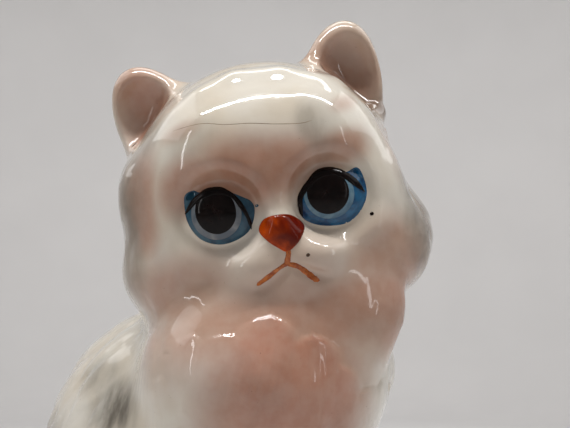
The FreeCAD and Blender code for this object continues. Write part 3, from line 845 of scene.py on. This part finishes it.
class Finish:
    """A material under construction: its node tree, and short ways to add to it."""

    def __init__(self, name, **sockets):
        self.material = bpy.data.materials.new(name)
        self.material.use_nodes = True
        self.nodes = self.material.node_tree.nodes
        self.shader = self.nodes["Principled BSDF"]
        self.place = self.nodes.new("ShaderNodeTexCoord").outputs["Object"]
        for socket, value in sockets.items():
            self.shader.inputs[socket.replace("_", " ")].default_value = value

    def link(self, source, target):
        self.material.node_tree.links.new(source, target)

    def noise(self, feature, detail=3.0, stretch=None, distortion=0.0):
        """Noise whose features are about this many millimetres across, from 0 to 1."""
        node = self.nodes.new("ShaderNodeTexNoise")
        node.inputs["Scale"].default_value = 1 / (feature * MM)
        node.inputs["Detail"].default_value = detail
        node.inputs["Distortion"].default_value = distortion
        place = self.place
        if stretch:
            squeeze = self.nodes.new("ShaderNodeMapping")
            squeeze.inputs["Scale"].default_value = stretch
            self.link(place, squeeze.inputs["Vector"])
            place = squeeze.outputs["Vector"]
        self.link(place, node.inputs["Vector"])
        return node.outputs["Fac"]

    def mask(self, name):
        node = self.nodes.new("ShaderNodeAttribute")
        node.attribute_name = name
        return node.outputs["Fac"]

    def span(self, value, low, high, to_low=0.0, to_high=1.0):
        """A value's range low to high, turned into another range."""
        node = self.nodes.new("ShaderNodeMapRange")
        node.interpolation_type = "SMOOTHSTEP"
        for socket, number in zip(("From Min", "From Max", "To Min", "To Max"),
                                  (low, high, to_low, to_high)):
            node.inputs[socket].default_value = number
        self.link(value, node.inputs["Value"])
        return node.outputs["Result"]

    def times(self, a, b):
        node = self.nodes.new("ShaderNodeMath")
        node.operation = "MULTIPLY"
        self.link(a, node.inputs[0])
        self.link(b, node.inputs[1])
        return node.outputs["Value"]

    def mix(self, share, a, b):
        """Colour a turning into colour b."""
        node = self.nodes.new("ShaderNodeMix")
        node.data_type = "RGBA"
        self.link(share, node.inputs[0])
        for value, socket in ((a, node.inputs[6]), (b, node.inputs[7])):
            if isinstance(value, tuple):
                socket.default_value = value
            else:
                self.link(value, socket)
        return node.outputs[2]

    def bump(self, height, depth, strength=1.0, below=None):
        """Raises the surface by up to depth millimetres; below is the bump it is laid over."""
        node = self.nodes.new("ShaderNodeBump")
        node.inputs["Distance"].default_value = depth * MM
        node.inputs["Strength"].default_value = strength
        self.link(height, node.inputs["Height"])
        if below:
            self.link(below, node.inputs["Normal"])
        self.link(node.outputs["Normal"], self.shader.inputs["Normal"])
        return node.outputs["Normal"]

    def wear(self, colour, rough):
        self.link(colour, self.shader.inputs["Base Color"])
        self.link(rough, self.shader.inputs["Roughness"])
        return self.material


def glaze():
    """Clear glossy glaze over cream earthenware with airbrushed grey, tan that is partly painted shade and
    warm reflection, and brown painted shade.
    """
    f = Finish("glaze", Coat_Weight=1.0, Coat_Roughness=0.02, Coat_IOR=1.5, Specular_IOR_Level=0.12)
    colour = f.mix(f.span(f.noise(14), 0.35, 0.7), WHITE, CREAM)
    fine = f.span(f.noise(2.6, 3.0), 0.3, 0.75, 0.9, 1.0)
    # Tan tint, partly airbrushed and partly painted shade and warm reflection.
    tan = f.mix(f.span(f.noise(13, 1.0, distortion=0.8), 0.2, 0.8), SHADED_TAN, SHADED_ROSE)
    colour = f.mix(f.times(f.mask("tan"), fine), colour, tan)
    streaks = f.span(f.noise(3.2, 4.0, stretch=(1, 1, 0.35)), 0.3, 0.7, 0.55, 1.0)
    colour = f.mix(f.times(f.mask("smoke"), streaks), colour, SMOKE)
    # Brown painted shade.
    colour = f.mix(f.mask("painted_shade"), colour, SHADE_AND_PINHOLE_BROWN)
    pooled = f.span(f.mask("relief"), 0.0, 0.35, 0.22, 0.0)
    colour = f.mix(pooled, colour, POOLED)
    pinholes = f.span(f.noise(0.55, 1.0), 0.78, 0.84, 0.0, 0.5)
    colour = f.mix(pinholes, colour, SHADE_AND_PINHOLE_BROWN)
    soft = f.bump(f.noise(5.0, 2.0), 0.16, 0.8)
    f.bump(f.noise(1.1, 2.0), 0.012, 0.6, soft)
    return f.wear(colour, f.span(f.noise(9), 0.3, 0.7, 0.08, 0.16))


def clay():
    """The bare fired clay of the foot and of the slip inside the neck."""
    f = Finish("bare_clay", Specular_IOR_Level=0.25)
    colour = f.mix(f.span(f.noise(4), 0.3, 0.7), srgb(214, 200, 178), srgb(188, 168, 142))
    colour = f.mix(f.span(f.noise(0.5, 2.0), 0.55, 0.8), colour, srgb(150, 132, 108))
    coarse = f.bump(f.noise(0.8, 4.0), 0.08, 0.9)
    f.bump(f.noise(0.25, 2.0), 0.02, 0.8, coarse)
    return f.wear(colour, f.span(f.noise(1.5), 0.3, 0.7, 0.75, 0.92))


def enamel(name, deep, pale, feature, coat=0.6):
    """Hand-brushed overglaze enamel, with patches where the brush left it thin."""
    f = Finish(name, Coat_Weight=coat, Coat_Roughness=0.03, Specular_IOR_Level=0.3 * coat)
    thin = f.span(f.noise(feature, 2.5, distortion=0.6), 0.3, 0.75)
    colour = f.mix(thin, deep, pale)
    grain = f.span(f.noise(0.3, 2.0), 0.5, 0.8, 0.0, 0.35)
    colour = f.mix(grain, colour, deep)
    brushed = f.bump(f.noise(0.9, 2.0), 0.03, 0.7)
    f.bump(f.noise(0.22, 1.0), 0.004, 0.5, brushed)
    return f.wear(colour, f.span(f.noise(0.8), 0.3, 0.7, 0.10, 0.22))


WHITE, CREAM = srgb(228, 223, 212), srgb(219, 209, 192)
# The next two tints are tan darkened into painted shade; on the line after, the brown that follows SMOKE
# is painted shade and also the colour of the glaze's pinholes.
SHADED_TAN, SHADED_ROSE = srgb(156, 95, 68), srgb(180, 118, 92)
SMOKE, SHADE_AND_PINHOLE_BROWN, POOLED = srgb(104, 98, 88), srgb(78, 50, 36), srgb(196, 178, 156)
GLAZE, CLAY = glaze(), clay()
BLUE = {
    "left": enamel("left_iris_enamel", srgb(6, 58, 98), srgb(20, 100, 142), 2.4),
    "right": enamel("right_iris_enamel", srgb(22, 60, 82), srgb(50, 92, 112), 2.4),
}
LIGHT = {
    "left": enamel("left_light_enamel", srgb(60, 96, 120), srgb(112, 142, 156), 3.0),
    "right": enamel("right_light_enamel", srgb(84, 94, 104), srgb(132, 134, 136), 3.0),
}
BLACK = enamel("black_enamel", srgb(7, 3, 3), srgb(22, 12, 10), 2.0, coat=0.2)
NOSE_RED = enamel("nose_enamel", srgb(94, 18, 2), srgb(196, 74, 6), 4.5, coat=0.25)
MOUTH_RED = enamel("mouth_enamel", srgb(150, 64, 10), srgb(206, 118, 48), 0.9)
CRACK_LINE = enamel("crack_line", srgb(120, 102, 80), srgb(158, 140, 116), 2.0)
SPECK_DARK = enamel("speck_dark", srgb(48, 34, 26), srgb(86, 64, 48), 0.6)


# ---------------------------------------------------------------- the cat
STEP = 0.6
LOW, HIGH = np.array((-48.0, -62.0, -3.0)), np.array((56.0, 60.0, 170.0))
BARE = 0.7


def grow():
    """The whole surface: points, faces, normals, the label of each face and the paint."""
    points, quads = extract(cat_field, LOW, HIGH, STEP)
    points = settle(cat_field, points)
    labels = np.argmin(np.stack(part_fields(points)), 0)
    normals = vertex_normals(points, quads)
    height = fur_height(points, normals, labels)
    paint = paint_masks(points, height)
    points = points + normals * height[:, None]
    points[:, 2] = np.maximum(points[:, 2], 0.0)
    return points, quads, vertex_normals(points, quads), parted(quads, labels), paint


POINTS, QUADS, NORMALS, FACE_PART, PAINT = grow()
NODES = {"torso": "torso_casting", "head": "head_casting"}
for index, part in enumerate(PARTS):
    node = NODES.get(part, part)
    own = QUADS[FACE_PART == index]
    piece = closed_piece(f"glazed_{part}", POINTS, NORMALS, own, PAINT)
    piece.data.materials.append(GLAZE)
    piece.data.materials.append(CLAY)
    middles = POINTS[own].mean(1)
    hole = np.hypot(middles[:, 0] - POUR_HOLE["centre"][0], middles[:, 1] - POUR_HOLE["centre"][1])
    in_hole = (hole < POUR_HOLE["radius"] + 0.6) & (middles[:, 2] < POUR_HOLE["depth"] + 2)
    bare = np.zeros(len(piece.data.polygons), int)
    bare[: len(own)] = (middles[:, 2] < BARE) | in_hole
    piece.data.polygons.foreach_set("material_index", bare)
    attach(piece, "root")
    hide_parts(node)

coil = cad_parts["neck_slip_coil"]
coil.data.materials.clear()
coil.data.materials.append(CLAY)


# ---------------------------------------------------------------- painted face
# Outlines are (x, z) and strokes (x, z, width), seen square to the face; those of an eye are
# taken from its EYE_CENTRE.
SKIN = Skin(POINTS, QUADS)
EYE_CENTRE = {"left": np.array((10.6, -3.9)), "right": np.array((-12.0, -3.6))}
IRIS = {
    "left": [(-6.73, 0.2), (-6.91, -1.81), (-6.33, -3.39), (-4.4, -4.78), (-1.63, -5.6),
             (1.54, -5.82), (3.75, -5.01), (5.68, -3.33), (7.06, -0.67), (6.95, 2.57),
             (5.89, 4.68), (3.44, 4.12), (0.72, 5.22), (-1.93, 5.14), (-4.23, 3.82), (-5.82, 2.37)],
    "right": [(-6.07, 4.28), (-6.28, 1.69), (-6.18, -0.09), (-5.42, -2.28), (-4.02, -4.16),
              (-1.91, -5.35), (0.36, -5.73), (2.78, -5.31), (5.03, -4.27), (6.39, -2.48),
              (7.16, 0.0), (6.72, 1.55), (5.5, 2.5), (3.09, 4.0), (0.65, 4.99), (-1.37, 5.14),
              (-2.9, 5.0), (-3.93, 5.57), (-5.29, 5.3)],
}
RING = {"left": ((-0.7, 0.5), (4.95, 4.75), -8), "right": ((-0.3, 0.3), (4.85, 4.95), 8)}
PUPIL = {"left": ((-0.9, 0.9), (4.1, 4.15), -6), "right": ((-0.3, 0.8), (3.9, 4.3), 6)}
LASH = {
    "left": [(-6.6, -2.9, 0.5), (-6.66, -1.27, 0.9), (-6.23, 0.99, 1.0), (-4.39, 2.98, 1.3),
             (-2.04, 4.58, 1.6), (0.67, 4.7, 1.6), (2.77, 3.66, 1.3), (4.76, 1.82, 1.3), (6.4, -0.3, 0.5)],
    "right": [(-6.2, 1.3, 0.5), (-4.4, 3.08, 0.9), (-2.75, 4.09, 1.3), (-0.58, 4.7, 1.6),
              (1.42, 4.46, 1.3), (3.49, 3.04, 0.9), (4.81, 0.74, 0.9), (5.57, -1.45, 0.7),
              (5.84, -3.84, 0.4)],
}
LIFT = {"iris": 0.12, "ring": 0.17, "pupil": 0.23, "lash": 0.36, "nose": 0.35, "mouth": 0.16}


def adorn(piece, slot, *nodes):
    """Fixes a piece of enamel to the cat, standing for the frame's nodes."""
    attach(piece, "root")
    if nodes:
        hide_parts(*nodes)


for name in SIDES:
    eye = EYE_CENTRE[name]
    adorn(patch(f"painted_{name}_iris", SKIN, eye, IRIS[name], LIFT["iris"], BLUE[name]),
          "iris_enamel", f"{name}_iris")
    shift, half, turn = RING[name]
    adorn(patch(f"painted_{name}_iris_light", SKIN, eye + shift, oval(*half, turn), LIFT["ring"],
                LIGHT[name], rim=LIFT["iris"]), "iris_light_enamel", f"{name}_iris_light")
    shift, half, turn = PUPIL[name]
    adorn(patch(f"painted_{name}_pupil", SKIN, eye + shift, oval(*half, turn), LIFT["pupil"], BLACK,
                rim=LIFT["ring"]), "black_enamel", f"{name}_pupil")
    adorn(stroke(f"painted_{name}_lash", SKIN, eye, LASH[name], LIFT["lash"], BLACK,
                 rim=LIFT["pupil"]), "black_enamel", f"{name}_lash")

NOSE_AT = np.array((-0.5, -8.65))
NOSE = [(-4.26, 0.59), (-3.39, 2.43), (-1.82, 3.14), (0.78, 3.16), (2.65, 2.43), (4.1, 1.01),
        (4.45, -0.21), (3.44, -1.74), (2.2, -2.95), (0.28, -3.96), (-1.26, -3.0), (-2.97, -1.39)]
adorn(patch("painted_nose", SKIN, NOSE_AT, NOSE, LIFT["nose"], NOSE_RED), "nose_enamel", "nose")
MOUTH = {
    "philtrum": [(0.1, -12.3, 0.9), (-0.2, -13.4, 0.9), (-0.6, -14.6, 1.1), (-0.7, -15.1, 1.2)],
    "right_mouth": [(-0.5, -14.8, 0.9), (-2.55, -15.61, 0.7), (-4.49, -16.69, 1.0), (-7.06, -18.0, 0.7)],
    "left_mouth": [(-0.7, -14.9, 0.9), (1.2, -15.74, 1.0), (2.66, -17.18, 1.1), (3.85, -18.57, 1.1),
                   (4.86, -19.34, 0.7)],
}
for name, stops in MOUTH.items():
    piece = stroke(f"painted_{name}", SKIN, np.zeros(2), stops, LIFT["mouth"], MOUTH_RED)
    adorn(piece, "mouth_enamel", *(["mouth"] if name == "philtrum" else []))

SPECKS = {"blue_speck": ((-4.3, -3.1), 0.35, BLUE["right"], "iris_enamel"),
          "cheek_speck": ((17.8, -8.8), 0.40, BLACK, "black_enamel"),
          "lip_speck": ((3.5, -13.9), 0.40, SPECK_DARK, "black_enamel")}
for name, (centre, size, material, slot) in SPECKS.items():
    piece = patch(name, SKIN, np.array(centre), oval(size, 0.8 * size, 20, 8), 0.05, material, 24)
    adorn(piece, slot)

CRACK = [(-17.8, 14.2, 0.05), (-12.2, 14.4, 0.10), (-7.5, 13.3, 0.11), (-2.8, 12.7, 0.12),
         (2.0, 11.7, 0.11), (6.7, 11.0, 0.10), (9.1, 11.2, 0.05)]
adorn(stroke("glaze_crack", SKIN, np.zeros(2), CRACK, 0.02, CRACK_LINE, 90, 0.01), "glaze")


# ---------------------------------------------------------------- stage, light and camera
def plain(name, colour):
    f = Finish(name, Specular_IOR_Level=0.2)
    colour = f.mix(f.span(f.noise(120), 0.3, 0.7), colour, tuple(0.97 * c for c in colour[:3]) + (1,))
    return f.wear(colour, f.span(f.noise(60), 0.3, 0.7, 0.6, 0.7))


def bowl(radius, bend, height, floor_rings=6, rings=24, spokes=96):
    """The floor, turning up into a round wall."""
    profile = [((radius - bend) * k / floor_rings, 0.0) for k in range(1, floor_rings + 1)]
    for k in range(1, rings):
        angle = 0.5 * math.pi * k / rings
        profile.append((radius - bend + bend * math.sin(angle), bend - bend * math.cos(angle)))
    profile.append((radius, height))
    points, faces = [(0, 0, 0)], []
    for r, z in profile:
        for k in range(spokes):
            angle = 2 * math.pi * k / spokes
            points.append((r * math.cos(angle), r * math.sin(angle), z))
    for k in range(spokes):
        faces.append((0, 1 + k, 1 + (k + 1) % spokes))
    for ring in range(len(profile) - 1):
        a, b = 1 + ring * spokes, 1 + (ring + 1) * spokes
        faces += [(a + k, b + k, b + (k + 1) % spokes, a + (k + 1) % spokes) for k in range(spokes)]
    return mesh_piece("stage_bowl", points, faces, plain("stage_paint", srgb(214, 212, 211)))


bowl(radius=900, bend=260, height=1100)


def towards(azimuth, elevation):
    """The direction from the cat to a place seen at this bearing; 0 is the front, -Y."""
    a, e = math.radians(azimuth), math.radians(elevation)
    return Vector((math.sin(a) * math.cos(e), -math.cos(a) * math.cos(e), math.sin(e)))


AIM = Vector(HEAD.base) * MM
VIEW = -45.0


def softbox(name, place, aim, size, power):
    """An area light at a place about the head that faces another, its width lying level."""
    light = bpy.data.lights.new(name, "AREA")
    light.shape = "RECTANGLE"
    light.size, light.size_y = (side * MM for side in size)
    light.energy = power
    lamp = bpy.data.objects.new(name, light)
    bpy.context.collection.objects.link(lamp)
    lamp.location = place
    lamp.rotation_mode = "QUATERNION"
    lamp.rotation_quaternion = (place - aim).to_track_quat("Z", "Y")


def about(azimuth, elevation, distance):
    return AIM + towards(azimuth, elevation) * distance * MM


# Each light: (bearing from the camera's, elevation, distance, (width, height), watts).
LIGHTS = {
    "overhead": (0, 70, 380, (520, 18), 1.7),
    "crown": (180, 80, 420, (420, 60), 0.4),
    "left_wing": (-100, 40, 560, (500, 300), 0.5),
    "right_wing": (100, 40, 560, (500, 300), 0.5),
    "left_strip": (-60, 14, 420, (16, 280), 0.10),
    "right_strip": (56, 8, 420, (16, 280), 0.05),
}
for name, (bearing, elevation, distance, size, watts) in LIGHTS.items():
    softbox(name, about(VIEW + bearing, elevation, distance), AIM, size, watts)
softbox("backdrop", about(VIEW + 180, 62, 430), about(VIEW + 180, 8, 900), (700, 400), 2.5)

world = bpy.data.worlds.new("studio")
bpy.context.scene.world = world
world.use_nodes = True
air = world.node_tree.nodes["Background"].inputs
air["Color"].default_value = (1.0, 0.99, 0.97, 1)
air["Strength"].default_value = 0.20
bpy.context.scene.view_settings.view_transform = "Standard"

# The camera stands close to the face and a little below it, looking up; angles in degrees.
DISTANCE, BELOW = 176.0, 10.0
PAN, TILT = -1.0, 2.05
LENS, SENSOR, CLIP = 49.45, 36.0, 0.01
camera = bpy.data.objects.new("camera", bpy.data.cameras.new("camera"))
bpy.context.collection.objects.link(camera)
bpy.context.scene.camera = camera
camera.data.lens, camera.data.sensor_width, camera.data.clip_start = LENS, SENSOR, CLIP
camera.location = AIM + towards(VIEW, -BELOW) * DISTANCE * MM
look = -towards(VIEW + PAN, -(BELOW - TILT))
camera.rotation_mode = "QUATERNION"
camera.rotation_quaternion = look.to_track_quat("-Z", "Y")
